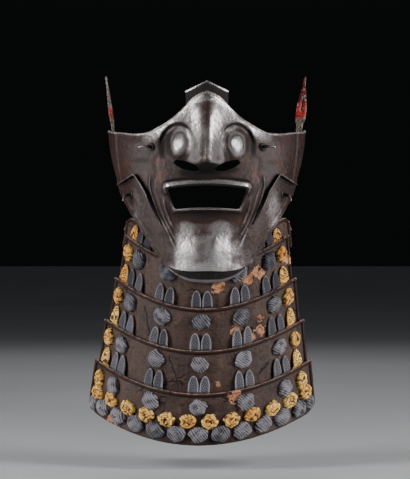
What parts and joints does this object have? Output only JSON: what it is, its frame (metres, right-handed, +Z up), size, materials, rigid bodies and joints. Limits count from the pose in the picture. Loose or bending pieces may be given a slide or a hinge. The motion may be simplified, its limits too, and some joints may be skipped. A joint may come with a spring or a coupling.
{
  "type": "samurai face guard",
  "caption": "Iron half mask with nose, open mouth and upright ear plates, and a throat guard of curved lacquered lames laced below it.",
  "frame": {"origin": "where the wearer's face sits in the guard: on the middle plane, level with the chin's lower edge, 19.5 mm behind the chin's front", "axes": "+Z up, -Y out of the face towards the viewer, +X to the viewer's right"},
  "size_m": [0.1834, 0.1064, 0.2969],
  "materials": {
    "russet_iron": "polished dark russet iron with fine pitting",
    "red_lacquer": "worn red lacquer over iron",
    "brown_lacquer": "cracked brown lacquer with tan chips",
    "grey_lace": "faded blue-grey silk braid",
    "yellow_lace": "golden silk braid"
  },
  "bodies": {
    "root": {"face_plate": "russet_iron", "nose_bridge_plate": "russet_iron", "chin_flange": "russet_iron", "ear_flap_left": "red_lacquer", "ear_flap_right": "red_lacquer", "cord_guard_left": "russet_iron", "cord_guard_right": "russet_iron", "cheek_hook_left": "russet_iron", "cheek_hook_right": "russet_iron", "jaw_peg_left": "russet_iron", "jaw_peg_right": "russet_iron", "throat_lame_top": "brown_lacquer", "throat_lame_upper": "brown_lacquer", "throat_lame_middle": "brown_lacquer", "throat_lame_lower": "brown_lacquer", "throat_lame_bottom": "brown_lacquer", "lace_1_inner_left": "grey_lace", "lace_1_inner_right": "grey_lace", "lace_1_outer_left": "grey_lace", "lace_1_outer_right": "grey_lace", "lace_1_edge_left": "yellow_lace", "lace_1_edge_right": "yellow_lace", "lace_2_middle": "grey_lace", "lace_2_inner_left": "grey_lace", "lace_2_inner_right": "grey_lace", "lace_2_outer_left": "grey_lace", "lace_2_outer_right": "grey_lace", "lace_2_edge_left": "yellow_lace", "lace_2_edge_right": "yellow_lace", "lace_3_middle": "grey_lace", "lace_3_inner_left": "grey_lace", "lace_3_inner_right": "grey_lace", "lace_3_outer_left": "grey_lace", "lace_3_outer_right": "grey_lace", "lace_3_edge_left": "yellow_lace", "lace_3_edge_right": "yellow_lace", "lace_4_middle": "grey_lace", "lace_4_inner_left": "grey_lace", "lace_4_inner_right": "grey_lace", "lace_4_outer_left": "grey_lace", "lace_4_outer_right": "grey_lace", "lace_4_edge_left": "yellow_lace", "lace_4_edge_right": "yellow_lace", "yellow_knot_row": "yellow_lace", "grey_knot_row": "grey_lace"}
  },
  "joints": []
}
